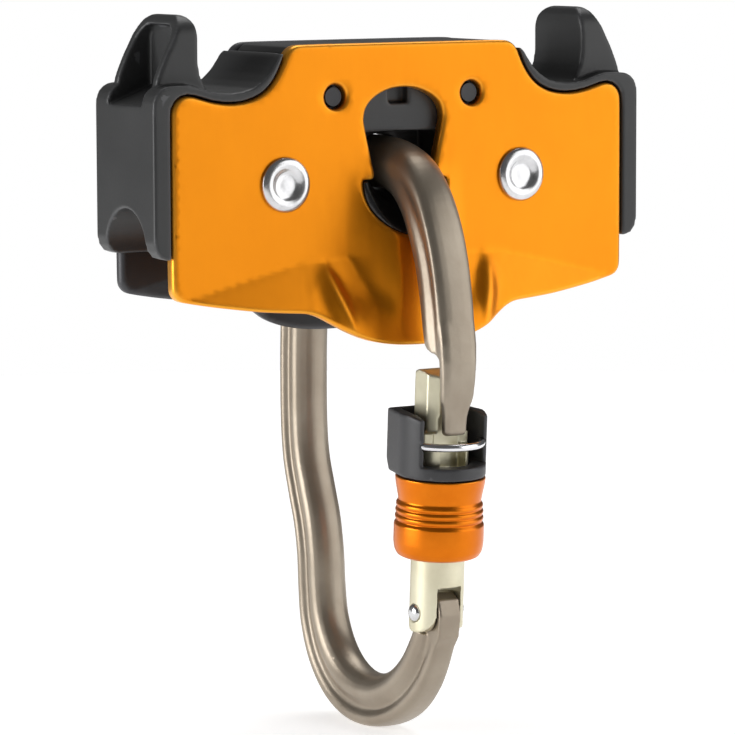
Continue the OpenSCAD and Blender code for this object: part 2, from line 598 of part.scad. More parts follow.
front_side_plate();
back_side_plate();
left_end_bumper();
right_end_bumper();
centre_block();
locating_pins();
carabiner_saddle();
axle_rivets();
axle_spacers();
left_sheave();
right_sheave();
left_bearing_outer_ring();
right_bearing_outer_ring();
left_bearing_inner_ring();
right_bearing_inner_ring();
left_bearing_balls();
right_bearing_balls();
left_ball_cage();
right_ball_cage();
carabiner_body();
gate();
gate_rivet();
gate_spring();
gate_plunger();
locking_sleeve();
sleeve_snap_ring();
lock_collar();
nose_keeper_wire();
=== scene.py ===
import json
import math

import bpy
import numpy as np
from mathutils import Matrix, Vector
from mathutils.geometry import delaunay_2d_cdt


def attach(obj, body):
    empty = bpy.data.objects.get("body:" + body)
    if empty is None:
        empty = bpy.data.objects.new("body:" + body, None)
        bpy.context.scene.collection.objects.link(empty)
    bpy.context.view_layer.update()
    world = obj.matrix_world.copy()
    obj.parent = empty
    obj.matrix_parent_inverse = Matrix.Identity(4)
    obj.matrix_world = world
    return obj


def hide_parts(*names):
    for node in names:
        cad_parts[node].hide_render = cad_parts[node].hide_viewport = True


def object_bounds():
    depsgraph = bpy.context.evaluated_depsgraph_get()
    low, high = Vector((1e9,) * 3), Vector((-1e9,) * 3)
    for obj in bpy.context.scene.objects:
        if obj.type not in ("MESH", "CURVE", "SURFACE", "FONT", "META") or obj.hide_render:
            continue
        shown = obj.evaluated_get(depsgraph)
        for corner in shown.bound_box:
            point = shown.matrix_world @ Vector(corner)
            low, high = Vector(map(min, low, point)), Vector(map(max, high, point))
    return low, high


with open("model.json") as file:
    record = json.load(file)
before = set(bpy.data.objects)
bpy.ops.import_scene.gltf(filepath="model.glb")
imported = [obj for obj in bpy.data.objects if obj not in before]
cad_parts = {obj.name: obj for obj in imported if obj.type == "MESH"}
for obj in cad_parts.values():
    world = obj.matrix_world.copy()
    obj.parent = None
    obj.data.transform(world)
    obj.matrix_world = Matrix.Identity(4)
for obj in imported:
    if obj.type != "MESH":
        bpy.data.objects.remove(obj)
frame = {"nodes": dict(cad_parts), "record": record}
cad_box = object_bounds()
record = frame["record"]
MM = 0.001

# ---------------------------------------------------------------- dimensions, mm
OUTER_Y = 13.5          # outer face of the flat part of a side plate
HALF_GAP = 10.5         # inner face
SPOUT = 6.6             # outward bow at the bottom of the spout
AXLE_X, AXLE_Z = 31.5, 18.5
PIN_X, PIN_Z = 18.15, 37.6
HINGE = (0.0, -26.3, -78.5)
LEAN = math.radians(3.4)
SEAT_Z, SEAT_R = 17.5, 11.2
ON_GATE = Matrix.Translation(HINGE) @ Matrix.Rotation(LEAN, 4, "X")


# ---------------------------------------------------------------- numbers
def lerp(a, b, t):
    return a + (b - a) * t


def sstep(a, b, v):
    t = np.clip((v - a) / (b - a), 0.0, 1.0)
    return t * t * (3 - 2 * t)


def bow(x, z):
    """How far a side plate stands out of its flat plane at a point of its face."""
    ax = np.abs(x)
    u = np.clip((z + 8) / 30, 0, 1)
    ridge = SPOUT * (1 - u * u) ** 1.3
    upper = ridge * (1 - sstep(4.6, 15.5, ax))
    lip_top = np.where(ax < 16, -4.7 - 0.346 * (16 - ax), lerp(-4.7, 0.4, sstep(16, 22, ax)))
    d = lip_top - z
    t = np.clip((d + np.sqrt(d * d + 1.4) - 0.3) / 21, 0, 1)
    lower = SPOUT * (1 - sstep(17.5, 28, ax))
    crease = np.where(ax < 26, lerp(2, 0.9, ax / 26),
                      lerp(0.9, -6.6, (np.maximum(ax - 26, 0) / 32) ** 1.1))
    a = upper + (lower - upper) * t * (2 - t)
    b = 0.38 * np.maximum(0, crease - z) * sstep(60.0, 52.0, ax)
    return (a + b + np.sqrt((a - b) ** 2 + 1.6 * np.clip((a + b) / 3, 0, 1))) / 2


# ---------------------------------------------------------------- materials
def new_material(name):
    m = bpy.data.materials.new(name)
    m.use_nodes = True
    return m, m.node_tree, m.node_tree.nodes["Principled BSDF"]


def noise(tree, coords, scale, detail=3.0, rough=0.5, stretch=(1, 1, 1)):
    mapping = tree.nodes.new("ShaderNodeMapping")
    mapping.inputs["Scale"].default_value = stretch
    tree.links.new(coords, mapping.inputs["Vector"])
    n = tree.nodes.new("ShaderNodeTexNoise")
    n.inputs["Scale"].default_value = scale
    n.inputs["Detail"].default_value = detail
    n.inputs["Roughness"].default_value = rough
    tree.links.new(mapping.outputs["Vector"], n.inputs["Vector"])
    return n.outputs["Fac"]


def ramp(tree, fac, stops):
    r = tree.nodes.new("ShaderNodeValToRGB")
    e = r.color_ramp.elements
    while len(e) < len(stops):
        e.new(0.5)
    for el, (pos, col) in zip(e, stops):
        el.position = pos
        el.color = (*col, 1) if len(col) == 3 else col
    tree.links.new(fac, r.inputs["Fac"])
    return r.outputs["Color"]


def finish_material(name, dark, light, metallic, rough, grain, grain_depth, mottle=60,
                    stretch=(1, 1, 1), rough_spread=0.06, wear=None, coat=0.0, specular=0.5):
    """A finish with slow colour mottling, fine grain in bump and roughness, and worn edges."""
    m, tree, bsdf = new_material(name)
    coords = tree.nodes.new("ShaderNodeTexCoord").outputs["Object"]
    slow = noise(tree, coords, mottle, 4, 0.55)
    fine = noise(tree, coords, grain, 4, 0.6, stretch)
    base = ramp(tree, slow, [(0.32, dark), (0.68, light)])
    if wear:
        geo = tree.nodes.new("ShaderNodeNewGeometry")
        edge = ramp(tree, geo.outputs["Pointiness"], [(0.515, (0, 0, 0)), (0.56, (1, 1, 1))])
        mix = tree.nodes.new("ShaderNodeMix")
        mix.data_type = "RGBA"
        tree.links.new(edge, mix.inputs["Factor"])
        tree.links.new(base, mix.inputs["A"])
        mix.inputs["B"].default_value = (*wear, 1)
        base = mix.outputs["Result"]
    tree.links.new(base, bsdf.inputs["Base Color"])
    spread = tree.nodes.new("ShaderNodeMapRange")
    spread.inputs["To Min"].default_value = rough - rough_spread
    spread.inputs["To Max"].default_value = rough + rough_spread
    tree.links.new(fine, spread.inputs["Value"])
    tree.links.new(spread.outputs["Result"], bsdf.inputs["Roughness"])
    bump = tree.nodes.new("ShaderNodeBump")
    bump.inputs["Strength"].default_value = 1.0
    bump.inputs["Distance"].default_value = grain_depth * MM
    tree.links.new(fine, bump.inputs["Height"])
    tree.links.new(bump.outputs["Normal"], bsdf.inputs["Normal"])
    bsdf.inputs["Metallic"].default_value = metallic
    bsdf.inputs["Coat Weight"].default_value = coat
    bsdf.inputs["Coat Roughness"].default_value = 0.25
    bsdf.inputs["Specular IOR Level"].default_value = specular
    return m


MATS = {
    "orange_anodised": finish_material(
        "orange_anodised", (0.84, 0.265, 0.006), (0.88, 0.285, 0.007), 0.88, 0.37, 900, 0.006,
        mottle=35, stretch=(1, 1, 0.12), wear=(0.98, 0.46, 0.05)),
    "black_anodised": finish_material(
        "black_anodised", (0.010, 0.010, 0.011), (0.016, 0.016, 0.018), 0.3, 0.42, 900, 0.006,
        stretch=(1, 1, 0.12), wear=(0.06, 0.06, 0.065)),
    "black_moulding": finish_material(
        "black_moulding", (0.026, 0.0265, 0.027), (0.034, 0.0345, 0.035), 0.0, 0.42, 1500, 0.012,
        wear=(0.085, 0.086, 0.09)),
    "dark_pin": finish_material(
        "dark_pin", (0.030, 0.031, 0.034), (0.046, 0.047, 0.05), 0.2, 0.4, 1500, 0.008),
    "saddle_black": finish_material(
        "saddle_black", (0.008, 0.008, 0.009), (0.014, 0.014, 0.015), 0.0, 0.22, 1200, 0.004),
    "rivet_steel": finish_material(
        "rivet_steel", (0.60, 0.60, 0.61), (0.74, 0.74, 0.75), 1.0, 0.24, 700, 0.02, mottle=260),
    "sheave_steel": finish_material(
        "sheave_steel", (0.36, 0.37, 0.39), (0.48, 0.49, 0.51), 1.0, 0.32, 1400, 0.006, mottle=140),
    "bearing_steel": finish_material(
        "bearing_steel", (0.52, 0.52, 0.54), (0.62, 0.62, 0.64), 1.0, 0.2, 1800, 0.003, mottle=140),
    "cage_brass": finish_material(
        "cage_brass", (0.52, 0.36, 0.12), (0.66, 0.48, 0.18), 1.0, 0.34, 1500, 0.006, mottle=140),
    "champagne_forged": finish_material(
        "champagne_forged", (0.32, 0.268, 0.208), (0.385, 0.33, 0.262), 0.8, 0.38, 1300, 0.022,
        mottle=90),
    "pale_gold": finish_material(
        "pale_gold", (0.68, 0.635, 0.46), (0.78, 0.74, 0.56), 0.85, 0.38, 1600, 0.010,
        mottle=120),
    "sleeve_orange": finish_material(
        "sleeve_orange", (0.70, 0.165, 0.002), (0.76, 0.19, 0.004), 0.85, 0.30, 1400, 0.012,
        mottle=200, wear=(0.95, 0.36, 0.03)),
    "spring_steel": finish_material(
        "spring_steel", (0.42, 0.42, 0.44), (0.54, 0.54, 0.56), 1.0, 0.28, 1500, 0.004, mottle=200),
    "collar_black": finish_material(
        "collar_black", (0.030, 0.030, 0.032), (0.042, 0.042, 0.045), 0.0, 0.42, 1800, 0.012,
        mottle=150, wear=(0.07, 0.07, 0.074)),
    "wire_steel": finish_material(
        "wire_steel", (0.74, 0.74, 0.76), (0.84, 0.84, 0.86), 1.0, 0.16, 1500, 0.003, mottle=300),
}
SLOT_OF = {s["node"]: s["material_slot"] for s in record["subparts"]}
BODY_OF = {n: b for b, ns in record["behaviour"]["bodies"].items() for n in ns}
for node, obj in frame["nodes"].items():
    obj.data.materials.clear()
    obj.data.materials.append(MATS[SLOT_OF[node]])
    for p in obj.data.polygons:
        p.material_index = 0


# ---------------------------------------------------------------- pieces
def piece(name, verts, faces, node, scale=MM, flat=False):
    """A finished mesh in mm, riding on its CAD node's body and shown instead of that node."""
    mesh = bpy.data.meshes.new(name)
    mesh.from_pydata([tuple(float(c) * scale for c in v) for v in verts], [], faces)
    mesh.update()
    obj = bpy.data.objects.new(name, mesh)
    bpy.context.scene.collection.objects.link(obj)
    return dress(obj, node, flat)


def dress(obj, node, flat=False):
    obj.data.materials.clear()
    obj.data.materials.append(MATS[SLOT_OF[node]])
    if not flat:
        obj.data.polygons.foreach_set("use_smooth", [True] * len(obj.data.polygons))
    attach(obj, BODY_OF[node])
    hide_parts(node)
    return obj


def node_mesh(node):
    """Points in mm and faces of a CAD node, with its split vertices joined."""
    data = frame["nodes"][node].data
    co = np.array([v.co for v in data.vertices], float) / MM
    key = {}
    index = [key.setdefault(tuple(np.round(p, 3)), len(key)) for p in co]
    faces = [[index[i] for i in p.vertices] for p in data.polygons]
    return [list(k) for k in key], [f for f in faces if len(set(f)) == len(f)]


def softened(name, node, parts, voxel, passes, ratio=1.0, soft=None, soft_passes=0):
    """Joins closed solids, given in mm, into one skin with the rounded edges of a moulding."""
    mesh = bpy.data.meshes.new(name)
    verts, faces = [], []
    for v, f in parts:
        faces += [[i + len(verts) for i in q] for q in f]
        verts += [tuple(map(float, p)) for p in v]
    mesh.from_pydata(verts, [], faces)
    mesh.update()
    obj = bpy.data.objects.new(name, mesh)
    bpy.context.scene.collection.objects.link(obj)
    remesh = obj.modifiers.new("skin", "REMESH")
    remesh.mode = "VOXEL"
    remesh.voxel_size = voxel
    apply_modifiers(obj)
    if soft is not None and soft_passes:
        co = coordinates(obj)
        weight = soft(co)
        group = obj.vertex_groups.new(name="soft")
        for w in np.unique(np.round(weight, 1)):
            if w > 0:
                group.add(np.nonzero(np.round(weight, 1) == w)[0].tolist(), float(w), "REPLACE")
        extra = obj.modifiers.new("soft", "SMOOTH")
        extra.factor, extra.iterations, extra.vertex_group = 0.5, soft_passes, "soft"
    if passes:
        ease = obj.modifiers.new("ease", "SMOOTH")
        ease.factor, ease.iterations = 0.5, passes
    if ratio < 1:
        thin = obj.modifiers.new("thin", "DECIMATE")
        thin.ratio = ratio
    apply_modifiers(obj)
    obj.vertex_groups.clear()
    obj.data.transform(Matrix.Scale(MM, 4))
    return dress(obj, node)


def apply_modifiers(obj):
    bpy.context.view_layer.update()
    dg = bpy.context.evaluated_depsgraph_get()
    done = bpy.data.meshes.new_from_object(obj.evaluated_get(dg))
    obj.modifiers.clear()
    obj.data = done


def coordinates(obj):
    co = np.zeros(len(obj.data.vertices) * 3)
    obj.data.vertices.foreach_get("co", co)
    return co.reshape(-1, 3)


def lathe(profile, matrix, segments=96, closed=True):
    """Turns a (radius, height) profile about local Z and places it. Points on the axis are shared."""
    verts, rings = [], []
    for r, h in profile:
        if r < 1e-6:
            rings.append([len(verts)] * segments)
            verts.append(matrix @ Vector((0, 0, h)))
        else:
            rings.append(list(range(len(verts), len(verts) + segments)))
            for i in range(segments):
                a = 2 * math.pi * i / segments
                verts.append(matrix @ Vector((r * math.cos(a), r * math.sin(a), h)))
    faces = []
    count = len(rings)
    for j in range(count if closed else count - 1):
        a, b = rings[j], rings[(j + 1) % count]
        for i in range(segments):
            k = (i + 1) % segments
            quad = [a[i], a[k], b[k], b[i]]
            quad = [q for n, q in enumerate(quad) if q != quad[n - 1]]
            if len(set(quad)) >= 3:
                faces.append(quad)
    return verts, faces


def rounded(points, radius, steps=4):
    """A closed profile with each corner rounded by an arc-like curve, where there is room."""
    out = []
    n = len(points)
    for i in range(n):
        p0, p1, p2 = (np.array(points[(i + d) % n], float) for d in (-1, 0, 1))
        if p1[0] < 1e-6:
            out.append(tuple(p1))
            continue
        a, b = p0 - p1, p2 - p1
        la, lb = np.linalg.norm(a), np.linalg.norm(b)
        r = min(radius, la * 0.45, lb * 0.45)
        a, b = p1 + a / la * r, p1 + b / lb * r
        for s in range(steps + 1):
            t = s / steps
            out.append(tuple((1 - t) ** 2 * a + 2 * t * (1 - t) * p1 + t * t * b))
    return out


# ---------------------------------------------------------------- side plates
OUTLINE_HALF = [(0, 49.4), (27, 49.4), (28.8, 49.1), (30.1, 48.3), (31, 47.1), (31.6, 45.7),
    (32.4, 44), (33.6, 42), (35.1, 40.2), (37, 38.7), (39.3, 37.6), (42, 37), (44.5, 36.8),
    (47, 36.9), (50, 37.4), (52.5, 38.1), (54.4, 38.65), (56, 38.85), (57.6, 38.5),
    (58.9, 37.6), (59.7, 36.3), (60, 34.8), (60, -3.3), (59.7, -4.7), (58.9, -5.8),
    (57.6, -6.5), (51, -7.7), (45, -8.6), (39, -9.4), (33, -9.9), (28.5, -10.2),
    (26.5, -10.6), (24.5, -11.4), (21.8, -13), (19, -14.7), (16.2, -16), (13.2, -17),
    (10, -17.7), (6, -18.2), (0, -18.4)]
KEYHOLE_HALF = [(0, 39.4), (3, 39.15), (5.5, 38.4), (7.8, 37.2), (9.4, 35.8), (10.3, 34.2),
    (10.6, 32.4), (10.4, 30.8), (8.2, 21.5), (8.1, 19.6), (8.7, 18.7)]


def resampled(points, spacing):
    """A closed loop of evenly spaced points along a closed polygon with eased corners."""
    p = np.array(points, float)
    for _ in range(2):
        q = np.roll(p, -1, 0)
        p = np.stack([p * 0.8 + q * 0.2, p * 0.2 + q * 0.8], 1).reshape(-1, 2)
    step = np.linalg.norm(np.roll(p, -1, 0) - p, axis=1)
    along = np.concatenate([[0], np.cumsum(step)])
    closed = np.vstack([p, p[:1]])
    n = max(16, int(round(along[-1] / spacing)))
    t = np.linspace(0, along[-1], n, endpoint=False)
    return np.stack([np.interp(t, along, closed[:, i]) for i in (0, 1)], 1)


def moved_left(loop, d):
    t = np.roll(loop, -1, 0) - np.roll(loop, 1, 0)
    t /= np.linalg.norm(t, axis=1)[:, None]
    return loop + d * np.stack([-t[:, 1], t[:, 0]], 1)


def inside(loop, p):
    x, y = p[:, 0], p[:, 1]
    hit = np.zeros(len(p), bool)
    for (x0, y0), (x1, y1) in zip(loop, np.roll(loop, -1, 0)):
        if y0 != y1:
            hit ^= ((y0 > y) != (y1 > y)) & (x < (x1 - x0) * (y - y0) / (y1 - y0) + x0)
    return hit


def circle_loop(cx, cz, r, n):
    a = np.linspace(0, -2 * math.pi, n, endpoint=False)
    return np.stack([cx + r * np.cos(a), cz + r * np.sin(a)], 1)


def plate_loops():
    half = OUTLINE_HALF
    outer = half + [(-x, z) for x, z in reversed(half) if x > 0]
    outer = resampled(outer[::-1], 0.7)
    right = KEYHOLE_HALF
    start = math.asin((18.7 - SEAT_Z) / SEAT_R)
    arc = [(SEAT_R * math.cos(a), SEAT_Z + SEAT_R * math.sin(a))
           for a in np.linspace(start, -math.pi - start, 40)]
    keyhole = right + arc + [(-x, z) for x, z in reversed(right) if x > 0]
    loops = [outer, resampled(keyhole, 0.6)]
    loops += [circle_loop(s * AXLE_X, AXLE_Z, 4.02, 40) for s in (-1, 1)]
    loops += [circle_loop(s * PIN_X, PIN_Z, 2.8, 40) for s in (-1, 1)]
    return loops


def signed_area(loop):
    q = np.roll(loop, -1, 0)
    return 0.5 * float(np.sum(loop[:, 0] * q[:, 1] - q[:, 0] * loop[:, 1]))


def side_plate_mesh():
    bevel = [(0.0, 0.85), (0.12, 0.42), (0.42, 0.12), (0.9, 0.0)]     # inset, depth below the face
    loops = plate_loops()
    if signed_area(loops[0]) < 0:
        loops[0] = loops[0][::-1]
    loops[1:] = [l[::-1] if signed_area(l) > 0 else l for l in loops[1:]]
    rings = [[moved_left(l, d) for d, _ in bevel] for l in loops]
    inner = [r[-1] for r in rings]
    grid = []
    for step, low, high in ((0.7, -18.5, 4.6), (1.4, 5.4, 49.6)):
        gx, gz = np.meshgrid(np.arange(-60, 60.1, step), np.arange(low, high, step))
        gx[::2] += step / 2
        grid.append(np.stack([gx.ravel(), gz.ravel()], 1))
    grid = np.vstack(grid)
    ok = inside(inner[0], grid)
    for l in inner[1:]:
        ok &= ~inside(l, grid)
    grid = grid[ok]
    edge = np.vstack(inner)
    near = np.array([np.min(np.sum((edge - p) ** 2, 1)) for p in grid])
    grid = grid[near > 0.2]
    pts2, segs = [], []
    for l in inner:
        base = len(pts2)
        pts2 += [Vector(p) for p in l]
        segs += [(base + i, base + (i + 1) % len(l)) for i in range(len(l))]
    pts2 += [Vector(p) for p in grid]
    v2, _, tris, *_ = delaunay_2d_cdt(pts2, segs, [], 0, 1e-5)
    v2 = np.array([tuple(v) for v in v2])
    centre = np.array([v2[list(t)].mean(0) for t in tris])
    keep = inside(inner[0], centre)
    for l in inner[1:]:
        keep &= ~inside(l, centre)
    tris = [list(t) for t, k in zip(tris, keep) if k]
    tri_area = [np.cross(v2[t[1]] - v2[t[0]], v2[t[2]] - v2[t[0]]) for t in tris]
    tris = [t if a > 0 else t[::-1] for t, a in zip(tris, tri_area)]
    n = len(v2)
    stand = bow(v2[:, 0], v2[:, 1])
    verts = [(x, -OUTER_Y - b, z) for (x, z), b in zip(v2, stand)]
    verts += [(x, -HALF_GAP - b, z) for (x, z), b in zip(v2, stand)]
    faces = [t for t in tris] + [[i + n for i in reversed(t)] for t in tris]
    base = 0
    for ring in rings:
        m = len(ring[-1])
        inner_front = list(range(base, base + m))
        inner_back = [i + n for i in inner_front]
        base += m
        chain = [inner_front]
        for loop, (_, depth) in list(zip(ring, bevel))[-2::-1]:
            b = bow(loop[:, 0], loop[:, 1])
            chain.append(list(range(len(verts), len(verts) + m)))
            verts += [(x, -OUTER_Y - s + depth, z) for (x, z), s in zip(loop, b)]
        rim = ring[0]
        b = bow(rim[:, 0], rim[:, 1])
        chain.append(list(range(len(verts), len(verts) + m)))
        verts += [(x, -HALF_GAP - s - 0.3, z) for (x, z), s in zip(rim, b)]
        chain.append(inner_back)
        for a, c in zip(chain, chain[1:]):
            faces += [[a[(i + 1) % m], a[i], c[i], c[(i + 1) % m]] for i in range(m)]
    return verts, faces


PLATE = side_plate_mesh()
piece("front_plate_shell", PLATE[0], PLATE[1], "front_side_plate")
piece("back_plate_shell", [(-x, -y, z) for x, y, z in PLATE[0]], PLATE[1], "back_side_plate")


# ---------------------------------------------------------------- moulded parts
def horn_softness(co):
    """Rounds the horns more than the rest of a bumper."""
    return sstep(40.5, 43.5, co[:, 2])


def gate_bar_softness(co):
    """Rounds the flat bar at the top of the gate more than its barrel."""
    return sstep(-38.5, -36.5, co[:, 2])


for side in ("left", "right"):
    softened(f"{side}_bumper_moulding", f"{side}_end_bumper", [node_mesh(f"{side}_end_bumper")],
             0.36, 5, 0.45, horn_softness, 6)
def crown_collar(centre_z=22.0, inner=6.3, outer=7.6, half=2.4):
    """Half ring that closes the gap between the centre block and the top of the carabiner crown."""
    verts, faces, n = [], [], 32
    for i in range(n + 1):
        a = math.pi * i / n
        for y, r in ((-half, inner), (-half, outer), (half, outer), (half, inner)):
            verts.append((r * math.cos(a), y, centre_z + r * math.sin(a)))
    for i in range(n):
        for j in range(4):
            a, b = 4 * i + j, 4 * i + (j + 1) % 4
            faces.append([a, a + 4, b + 4, b])
    return verts, faces + [[0, 1, 2, 3], [4 * n + 3, 4 * n + 2, 4 * n + 1, 4 * n]]


softened("cover_block", "centre_block", [node_mesh("centre_block"), crown_collar()], 0.42, 4, 0.4)
softened("saddle_moulding", "carabiner_saddle", [node_mesh("carabiner_saddle")], 0.32, 5, 0.5)
softened("collar_moulding", "lock_collar", [node_mesh("lock_collar")], 0.24, 14, 0.6)
softened("gate_forging", "gate", [node_mesh("gate")], 0.2, 4, 0.6, gate_bar_softness, 14)


# ---------------------------------------------------------------- carabiner
PATH = [(-32.9, -25), (-31.9, -20.5), (-30.9, -15.5), (-29.8, -8.3), (-28, 0), (-25.3, 7.4),
    (-21.6, 14), (-16.6, 19), (-10, 21.5), (-3, 22), (3, 22), (9.4, 21.2), (15.6, 18.4),
    (20.8, 13.6), (24.8, 7), (27.8, -1.5), (29.6, -11), (30.4, -21), (30.6, -32), (30.4, -42),
    (29.4, -50), (27, -57.5), (24.6, -64.5), (23.2, -72), (22.6, -80), (21.4, -87.5),
    (17.8, -94.8), (11.6, -100.4), (3.6, -103.1), (-5, -102.7), (-13.2, -99.4), (-20, -93.7),
    (-24.4, -87.2), (-26, -83.4)]
WIDTH = [8.6, 9.2, 9.7, 9.8, 10, 10.4, 11, 11.7, 12, 12, 12, 12, 11.7, 11, 10.4, 10, 10, 10, 10, 10,
    10, 10, 10, 10, 10, 10, 10, 10, 10, 10, 10, 9.8, 9.4, 9.2]
DEPTH = [7.8, 9.8, 10.8, 11.2, 11.3, 11.5, 11.8, 12, 12, 12, 12, 12, 12, 11.4, 10.6, 9.9, 9.4, 9.2,
    9.2, 9.2, 9.3, 9.6, 9.6, 9.5, 9.7, 10.4, 11.4, 12.2, 12.4, 12.2, 11.8, 11.2, 10.6, 10]
SHARE = [0.6, 0.8, 0.95, 1, 1, 0.9, 0.6, 0.25, 0, 0, 0, 0, 0.2, 0.5, 0.8, 1, 1, 1, 1, 1, 1, 1, 1, 1,
    1, 1, 1, 1, 1, 1, 1, 1, 1, 1]
FLANGE = [1] * 28 + [0.98, 0.9, 0.8, 0.7, 0.64, 0.62]


def spline(values, per):
    """Catmull-Rom through a list of numbers or points."""
    p = np.array(values, float)
    p = p[:, None] if p.ndim == 1 else p
    ext = np.vstack([2 * p[0] - p[1], p, 2 * p[-1] - p[-2]])
    out = []
    for i in range(1, len(ext) - 2):
        a, b, c, d = ext[i - 1], ext[i], ext[i + 1], ext[i + 2]
        for s in range(per):
            t = s / per
            out.append(0.5 * (2 * b + (c - a) * t + (2 * a - 5 * b + 4 * c - d) * t * t
                              + (3 * b - a - 3 * c + d) * t ** 3))
    out.append(ext[-2])
    return np.array(out).squeeze()


# Half of the forged section, from the outside of the ring inward: flange, channel and round rim
HALF_SECTION = [(0, 1), (0.35, 0.995), (0.66, 0.96), (0.88, 0.89), (0.98, 0.78), (1, 0.66),
    (0.98, 0.55), (0.9, 0.44), (0.79, 0.35), (0.745, 0.24), (0.77, 0.12), (0.84, 0),
    (0.91, -0.12), (0.945, -0.26),
    (0.93, -0.42), (0.86, -0.6), (0.7, -0.78), (0.45, -0.92), (0.2, -0.985), (0, -1)]


def bar_section(width, depth, share, flange):
    """Closed section of the forged bar: round at share 0, flanged and channelled at share 1."""
    half = []
    for i, (x, y) in enumerate(HALF_SECTION):
        a = math.pi / 2 - math.pi * i / (len(HALF_SECTION) - 1)
        x *= lerp(1, flange, sstep(0.1, 0.4, y))
        half.append((lerp(math.cos(a), x, share) * width / 2,
                     lerp(math.sin(a), y, share) * depth / 2))
    return half + [(-x, y) for x, y in reversed(half[1:-1])]


def swept_bar():
    pts, w, d, k, g = (spline(v, 5) for v in (PATH, WIDTH, DEPTH, SHARE, FLANGE))
    verts, n = [], 2 * len(HALF_SECTION) - 2
    for i, p in enumerate(pts):
        t = pts[min(i + 1, len(pts) - 1)] - pts[max(i - 1, 0)]
        t /= np.linalg.norm(t)
        for x, y in bar_section(w[i], d[i], min(1, max(0, k[i])), g[i]):
            verts.append((x, p[0] - t[1] * y, p[1] + t[0] * y))
    faces = [[i * n + j, i * n + (j + 1) % n, (i + 1) * n + (j + 1) % n, (i + 1) * n + j]
             for i in range(len(pts) - 1) for j in range(n)]
    faces += [list(range(n))[::-1], list(range((len(pts) - 1) * n, len(pts) * n))]
    return verts, faces


def across(width, outline, matrix=Matrix.Identity(4)):
    """A flat outline in Y and Z, extruded across X."""
    n = len(outline)
    verts = [matrix @ Vector((s * width / 2, y, z)) for s in (-1, 1) for y, z in outline]
    faces = [[i, (i + 1) % n, n + (i + 1) % n, n + i] for i in range(n)]
    faces += [list(range(n))[::-1], list(range(n, 2 * n))]
    return verts, faces


# Nose blade, as levels of (z, half width, outer y, inner y)
BLADE = [(-5, 4.2, -33.6, -30.5), (-12, 4.7, -35.9, -32.5), (-17, 4.75, -36.7, -33.3),
    (-21, 4.6, -36.95, -33.8), (-25, 4.4, -36.8, -33.9), (-28.5, 4.2, -36.4, -33.7),
    (-30, 4.0, -36.05, -33.4), (-31.6, 3.45, -35.7, -33), (-33.5, 3.05, -35.35, -32.6),
    (-37, 2.9, -35.05, -32.4), (-37.7, 2.5, -34.8, -32.6)]


def blade():
    verts, n = [], 16
    for z, w, y0, y1 in BLADE:
        for i in range(n):
            a = 2 * math.pi * i / n
            x = math.copysign(abs(math.cos(a)) ** 0.5, math.cos(a)) * w
            y = math.copysign(abs(math.sin(a)) ** 0.6, math.sin(a)) * (y1 - y0) / 2
            verts.append((x, (y0 + y1) / 2 + y, z))
    faces = [[i * n + j, (i + 1) * n + j, (i + 1) * n + (j + 1) % n, i * n + (j + 1) % n]
             for i in range(len(BLADE) - 1) for j in range(n)]
    faces += [list(range(n)), list(range((len(BLADE) - 1) * n, len(BLADE) * n))[::-1]]
    return verts, faces


def leg_cut(verts):
    """Draws the underside of the leg back to the blade, below a slanted line."""
    out = []
    for x, y, z in verts:
        if y < -20 and -40 < z < -10:
            line = -17.4 - 0.4 * (-26.3 - y) if y > -32.5 else -19.9 - 1.1 * (-32.5 - y)
            if y > -34.2:
                z = max(z, line)
        out.append((x, y, z))
    return out


TENON = across(5.6, [(-28.6, -88.4), (-21, -90), (-20.7, -83), (-21, -77.4), (-22.6, -74.4),
                     (-29, -73.9), (-31.5, -75.4), (-32.4, -79), (-31.6, -84)])
bar_verts, bar_faces = swept_bar()
softened("carabiner_forging", "carabiner_body", [(leg_cut(bar_verts), bar_faces), blade(), TENON],
         0.3, 5, 0.5)


# ---------------------------------------------------------------- turned parts
R = 10.2
SLEEVE = [(6.4, 13.2), (7.2, 12.7), (R - 2, 12.7), (R - 0.9, 13.2), (R - 0.25, 14.4), (R, 16.2),
    (R, 20.3), (R - 0.3, 20.75), (R - 0.55, 21.1), (R - 0.2, 21.55), (R - 0.2, 22.15),
    (R - 0.6, 22.6), (R - 0.25, 23.05), (R - 0.25, 23.6), (R - 0.7, 24.05), (R - 0.35, 24.5),
    (R - 0.4, 25.1), (R - 0.85, 25.7), (R - 0.6, 27.2), (R - 0.2, 29.2), (R, 30.7), (R, 31.2),
    (8.9, 31.2), (8.9, 30.5), (9.35, 30.5), (9.35, 29.3), (8.9, 29.3), (8.9, 28.6), (6.4, 28.6)]
v, f = lathe(rounded(SLEEVE, 0.35, 3), ON_GATE, 128)
piece("sleeve_turning", v, f, "locking_sleeve")


def arc_wire(radius, wire, sweep, height, steps, ring=20):
    verts, faces = [], []
    a0 = -90 - sweep / 2
    for i in range(steps + 1):
        a = math.radians(a0 + sweep * i / steps)
        for j in range(ring):
            b = 2 * math.pi * j / ring
            r = radius + wire * math.cos(b)
            verts.append(ON_GATE @ Vector((r * math.cos(a), r * math.sin(a),
                                           height + wire * math.sin(b))))
    for i in range(steps):
        for j in range(ring):
            k = (j + 1) % ring
            faces.append([i * ring + j, (i + 1) * ring + j, (i + 1) * ring + k, i * ring + k])
    faces += [list(range(ring)), list(range(steps * ring, (steps + 1) * ring))[::-1]]
    return verts, faces


v, f = arc_wire(9.0, 0.9, 132, 39.05, 90)
piece("keeper_wire", v, f, "nose_keeper_wire")


def axle_place(s):
    """Turns local Z onto the axle on side s."""
    return Matrix.Translation((s * AXLE_X, 0, AXLE_Z)) @ Matrix.Rotation(math.radians(-90), 4, "X")


